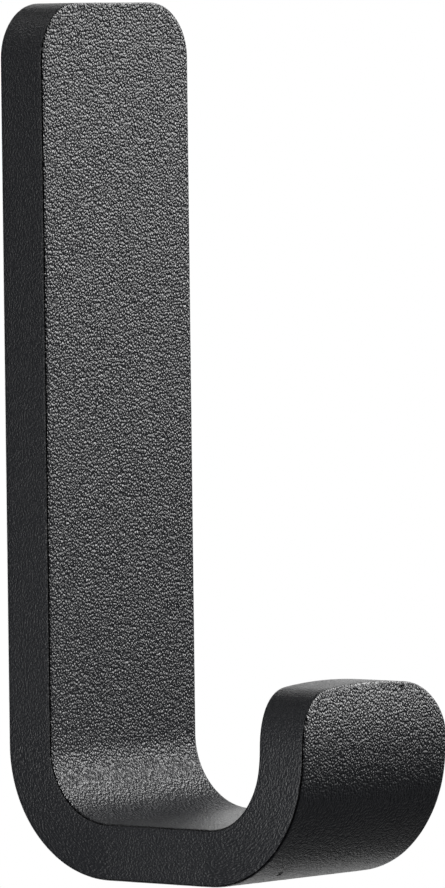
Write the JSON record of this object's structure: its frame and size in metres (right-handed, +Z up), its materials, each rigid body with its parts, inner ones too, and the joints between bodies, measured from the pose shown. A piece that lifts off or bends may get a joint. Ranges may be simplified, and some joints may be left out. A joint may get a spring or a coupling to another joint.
{
  "type": "wall hook",
  "caption": "J shaped wall hook bent from one flat bar, blank front with round corners, textured powder coat, blind tapped holes in the back",
  "frame": {"origin": "On the wall face of the shank, midway between the two tapped fixing holes", "axes": "+Y points into the wall, -Y is the way the hook stands out, +Z is up, X runs across the bar"},
  "size_m": [0.0256, 0.0441, 0.1],
  "materials": {
    "powder_coat": "black powder coat with a fine leathery texture, over steel flat bar"
  },
  "bodies": {
    "root": {"hook": "powder_coat"}
  },
  "joints": []
}
